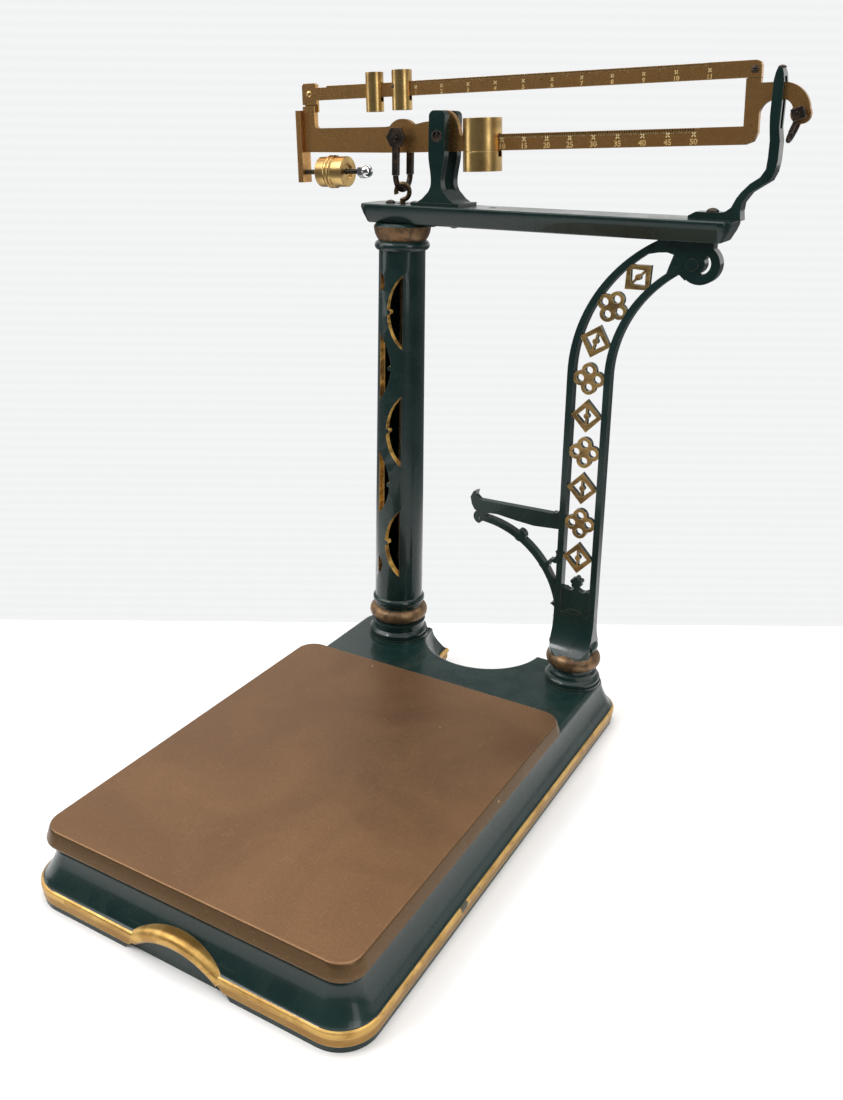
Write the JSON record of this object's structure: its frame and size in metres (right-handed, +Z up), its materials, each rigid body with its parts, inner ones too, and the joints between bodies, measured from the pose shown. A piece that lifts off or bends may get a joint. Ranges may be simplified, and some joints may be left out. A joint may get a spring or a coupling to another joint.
{
  "type": "beam scale",
  "caption": "Antique cast-iron counter scale with a platform, pierced column and bracket, and a double brass beam with sliding poises.",
  "frame": {"origin": "centre of the bounding box on the floor", "axes": "+X along the beam towards its nose, +Y from the platform's free end to the posts, +Z up"},
  "size_m": [0.4658, 0.4808, 0.5962],
  "materials": {
    "green_enamel": "dark green gloss enamel on cast iron, gilt lines",
    "platform_bronze": "bronze-brown satin paint, worn",
    "beam_brass": "aged satin brass",
    "poise_brass": "polished brass",
    "dark_steel": "dark oiled steel",
    "lever_iron": "black painted casting",
    "bright_plate": "bright nickel plate"
  },
  "bodies": {
    "frame": {"base": "green_enamel", "base_bearings": "dark_steel", "column": "green_enamel", "bracket": "green_enamel", "foot_bolts": "dark_steel", "shelf": "green_enamel", "shelf_screws": "dark_steel", "fulcrum_stand": "green_enamel", "stand_screws": "dark_steel", "fulcrum_bearings": "dark_steel", "trig_stand": "green_enamel", "trig_screw": "dark_steel", "trig_knob": "dark_steel"},
    "front_lever": {"long_lever": "lever_iron", "long_lever_pivots": "dark_steel"},
    "rear_lever": {"short_lever": "lever_iron", "short_lever_pivots": "dark_steel"},
    "link": {"lever_link": "dark_steel"},
    "bearing_blocks": {"platform_bearings": "dark_steel"},
    "top_plate": {"platform": "platform_bronze"},
    "rod": {"steelyard_rod": "dark_steel"},
    "balance_beam": {"beam": "beam_brass", "upper_bar": "beam_brass", "bar_screws": "dark_steel", "fulcrum_pivot": "dark_steel", "load_pivot": "dark_steel", "hanger_plate": "beam_brass", "hanger_screw": "dark_steel", "balance_rod": "dark_steel", "acorn_nut": "bright_plate", "nose_pivot": "dark_steel", "nose_nut": "dark_steel"},
    "clevis": {"load_clevis": "dark_steel"},
    "tare_weight": {"balance_weight": "poise_brass"},
    "main_poise": {"large_poise": "poise_brass"},
    "left_poise": {"tare_poise": "poise_brass"},
    "right_poise": {"fine_poise": "poise_brass", "poise_screw": "dark_steel"},
    "loop": {"counterpoise_loop": "dark_steel"}
  },
  "joints": [
    {"name": "beam_tilt", "type": "hinge", "parent": "frame", "child": "balance_beam", "pos_m": [-0.073, 0.202, 0.538], "axis": [0, 1, 0], "range_deg": [-0.6, 4.1]},
    {"name": "clevis_swing", "type": "hinge", "parent": "balance_beam", "child": "clevis", "pos_m": [-0.11597, 0.202, 0.53635], "axis": [0, 1, 0], "range_deg": [-4.1, 0.6]},
    {"name": "rod_lift", "type": "slide", "parent": "frame", "child": "rod", "axis": [0, 0, 1], "range_m": [-0.0005, 0.0032]},
    {"name": "front_lever_tilt", "type": "hinge", "parent": "frame", "child": "front_lever", "pos_m": [-0.03, -0.195, 0.022], "axis": [1, 0, 0], "range_deg": [-0.1, 0.5]},
    {"name": "rear_lever_tilt", "type": "hinge", "parent": "frame", "child": "rear_lever", "pos_m": [-0.03, 0.09, 0.022], "axis": [1, 0, 0], "range_deg": [-0.5, 0.1]},
    {"name": "link_lift", "type": "slide", "parent": "frame", "child": "link", "axis": [0, 0, 1], "range_m": [-0.0002, 0.0012]},
    {"name": "bearing_lift", "type": "slide", "parent": "frame", "child": "bearing_blocks", "axis": [0, 0, 1], "range_m": [-0.0001, 0.0003]},
    {"name": "platform_lift_off", "type": "slide", "parent": "bearing_blocks", "child": "top_plate", "axis": [0, 0, 1], "range_m": [0, 0.15]},
    {"name": "balance_weight_travel", "type": "slide", "parent": "balance_beam", "child": "tare_weight", "axis": [0.9993, 0, 0.0384], "range_m": [-0.0172, 0.013]},
    {"name": "large_poise_travel", "type": "slide", "parent": "balance_beam", "child": "main_poise", "axis": [0.9993, 0, 0.0384], "range_m": [0, 0.2045]},
    {"name": "tare_poise_travel", "type": "slide", "parent": "balance_beam", "child": "left_poise", "axis": [0.9993, 0, 0.0384], "range_m": [-0.0543, 0.011]},
    {"name": "fine_poise_travel", "type": "slide", "parent": "balance_beam", "child": "right_poise", "axis": [0.9993, 0, 0.0384], "range_m": [0, 0.2847]},
    {"name": "counterpoise_loop_swing", "type": "hinge", "parent": "balance_beam", "child": "loop", "pos_m": [0.22646, 0.202, 0.55771], "axis": [0, 1, 0], "range_deg": [-50, 3]}
  ],
  "couplings": [
    {"joint": "clevis_swing", "follows": "beam_tilt", "ratio": -1},
    {"joint": "rod_lift", "follows": "beam_tilt", "m_per_rad": 0.043},
    {"joint": "front_lever_tilt", "follows": "beam_tilt", "ratio": 0.10831},
    {"joint": "rear_lever_tilt", "follows": "beam_tilt", "ratio": -0.10831},
    {"joint": "link_lift", "follows": "beam_tilt", "m_per_rad": 0.015435},
    {"joint": "bearing_lift", "follows": "beam_tilt", "m_per_rad": 0.0032494}
  ]
}
